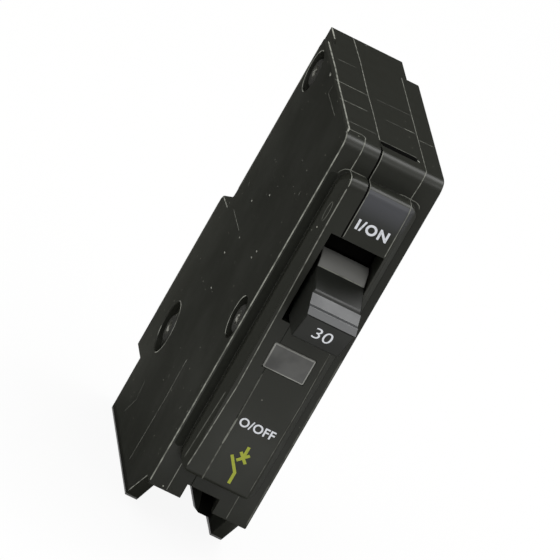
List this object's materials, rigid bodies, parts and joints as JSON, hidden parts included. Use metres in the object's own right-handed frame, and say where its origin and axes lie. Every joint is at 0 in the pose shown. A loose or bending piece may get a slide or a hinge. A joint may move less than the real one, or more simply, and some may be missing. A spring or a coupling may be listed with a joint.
{
  "type": "circuit breaker",
  "caption": "Plug-on miniature circuit breaker in a two-part moulded case, with a rocking handle, trip window, line jaw and load terminal.",
  "frame": {"origin": "middle of the load end, which the part stands on, centred in width and in depth", "axes": "+X across the pole to the right as seen from the handle side, -Y towards the handle side, +Z from the load end to the line end"},
  "size_m": [0.019, 0.0745, 0.078],
  "materials": {
    "case_plastic": "moulded thermoset, near black, dusty and a little worn along its edges",
    "handle_plastic": "moulded, half gloss, polished by use",
    "lens_plastic": "grey translucent lens",
    "flag_plastic": "moulded, signal red",
    "copper": "stamped copper, lightly tarnished",
    "silver": "silver alloy, matt",
    "steel": "stamped or turned, zinc plated",
    "spring_steel": "drawn wire and rolled strip",
    "rivet_steel": "blackened steel",
    "bimetal_strip": "rolled bimetal, straw tint",
    "fibre_board": "vulcanised fibre"
  },
  "bodies": {
    "case": {"left_cover": "case_plastic", "right_base": "case_plastic", "case_rivets": "rivet_steel", "window_lens": "lens_plastic", "line_jaw": "copper", "jaw_spring": "spring_steel", "stationary_contact": "silver", "cradle_pin": "steel", "load_terminal": "copper", "calibration_screw": "steel", "arc_plates": "steel", "arc_boards": "fibre_board", "flexible_braid": "copper", "toggle_spring": "spring_steel", "armature_spring": "spring_steel"},
    "handle": {"handle": "handle_plastic", "arm_pin": "steel"},
    "contact_arm": {"contact_arm": "copper", "moving_contact": "silver"},
    "cradle": {"cradle": "steel"},
    "trip_flag": {"trip_flag": "flag_plastic"},
    "bimetal": {"bimetal": "bimetal_strip", "magnet_yoke": "steel"},
    "armature": {"armature": "steel"},
    "clamp_plate": {"clamp_plate": "steel"},
    "terminal_screw": {"terminal_screw": "steel"}
  },
  "joints": [
    {"name": "handle_rock", "type": "hinge", "parent": "case", "child": "handle", "pos_m": [0.0008, -0.02175, 0.0537], "axis": [-1, 0, 0], "range_deg": [0, 36], "deforming": ["toggle_spring", "flexible_braid"]},
    {"name": "contact_swing", "type": "hinge", "parent": "handle", "child": "contact_arm", "pos_m": [0.0008, -0.01272, 0.05664], "axis": [-1, 0, 0], "range_deg": [-62.5, 0], "deforming": ["toggle_spring", "flexible_braid"]},
    {"name": "cradle_trip", "type": "hinge", "parent": "case", "child": "cradle", "pos_m": [0.0045, -0.00875, 0.037], "axis": [1, 0, 0], "range_deg": [0, 30], "deforming": ["toggle_spring"]},
    {"name": "flag_slide", "type": "slide", "parent": "case", "child": "trip_flag", "axis": [0, 0, 1], "range_m": [0, 0.0062]},
    {"name": "bimetal_bend", "type": "hinge", "parent": "case", "child": "bimetal", "pos_m": [0.0008, -0.00575, 0.0205], "axis": [-1, 0, 0], "range_deg": [0, 3], "deforming": ["flexible_braid", "armature_spring"]},
    {"name": "armature_pull", "type": "hinge", "parent": "bimetal", "child": "armature", "pos_m": [0.0008, -0.00375, 0.0238], "axis": [-1, 0, 0], "range_deg": [0, 3], "deforming": ["armature_spring"]},
    {"name": "clamp_slide", "type": "slide", "parent": "case", "child": "clamp_plate", "axis": [0, 1, 0], "range_m": [0, 0.0032]},
    {"name": "screw_turn", "type": "hinge", "parent": "clamp_plate", "child": "terminal_screw", "pos_m": [-0.00063, 0, 0.0062], "axis": [0, 1, 0], "range_deg": [0, 1440]}
  ],
  "couplings": [
    {"joint": "contact_swing", "follows": "handle_rock", "ratio": -1.7222},
    {"joint": "flag_slide", "follows": "cradle_trip", "m_per_rad": 0.011841},
    {"joint": "screw_turn", "follows": "clamp_slide", "rad_per_m": 7853.9}
  ]
}
